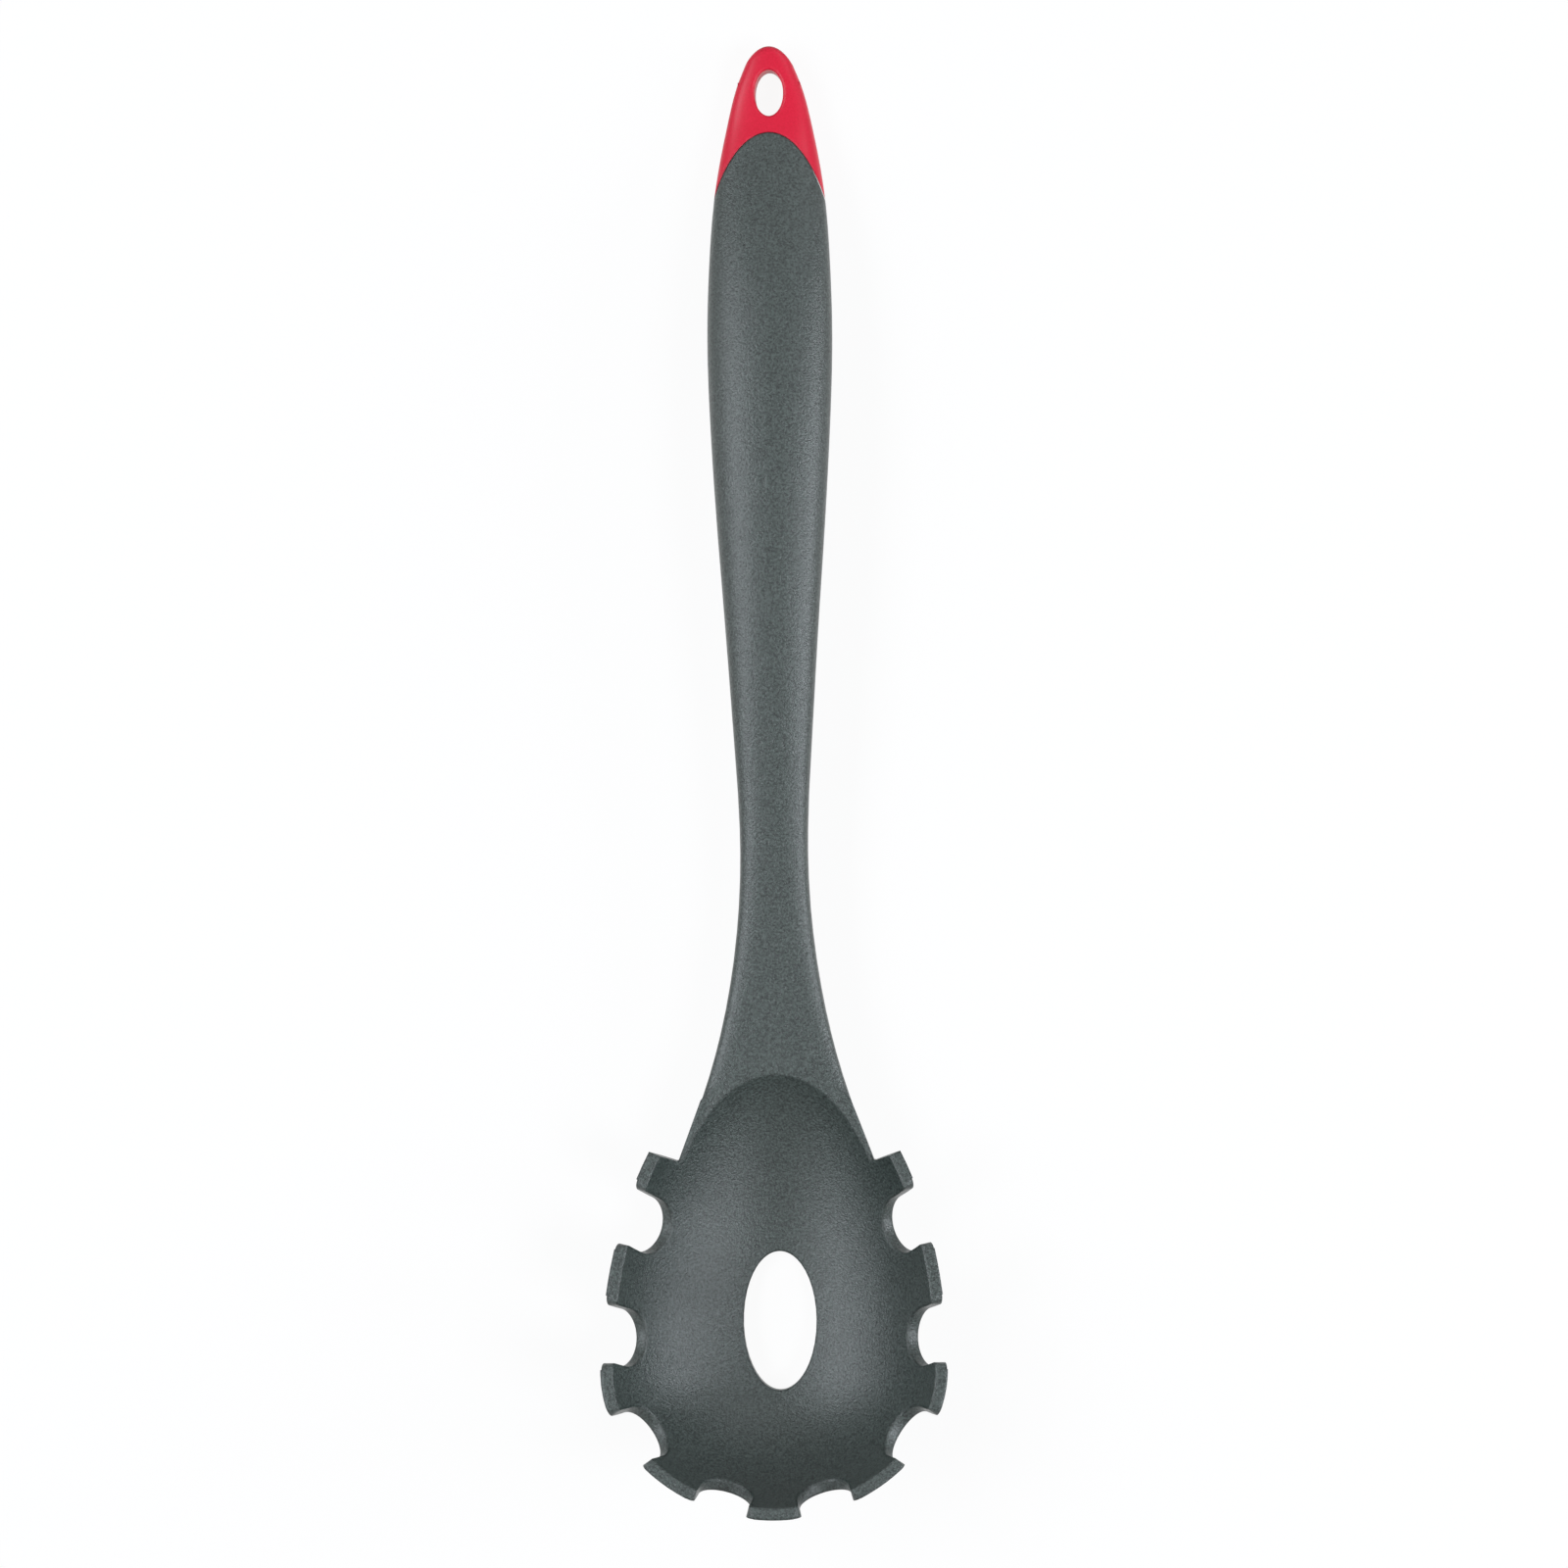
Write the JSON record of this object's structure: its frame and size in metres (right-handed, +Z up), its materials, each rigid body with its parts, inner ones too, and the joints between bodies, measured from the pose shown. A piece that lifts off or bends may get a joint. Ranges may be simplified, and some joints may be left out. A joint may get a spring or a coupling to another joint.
{
  "type": "pasta server",
  "caption": "Moulded pasta server: deep toothed bowl with an oval drain slot, slim neck, rounded hollow grip and a red hanging tip with an oval eye.",
  "frame": {"origin": "bottom centre of the object's box, on the surface it lies on", "axes": "+Z up out of the bowl, +Y along the handle from the toe to the hanging tip, +X to the right as the bowl is seen from above"},
  "size_m": [0.071, 0.303, 0.0357],
  "materials": {
    "body_nylon": "fine spark-eroded grain, satin sheen",
    "back_nylon": "fine spark-eroded grain, satin sheen",
    "tip_plastic": "smooth satin"
  },
  "bodies": {
    "root": {"server_body": "body_nylon", "grip_back": "back_nylon", "hanging_tip": "tip_plastic"}
  },
  "joints": []
}
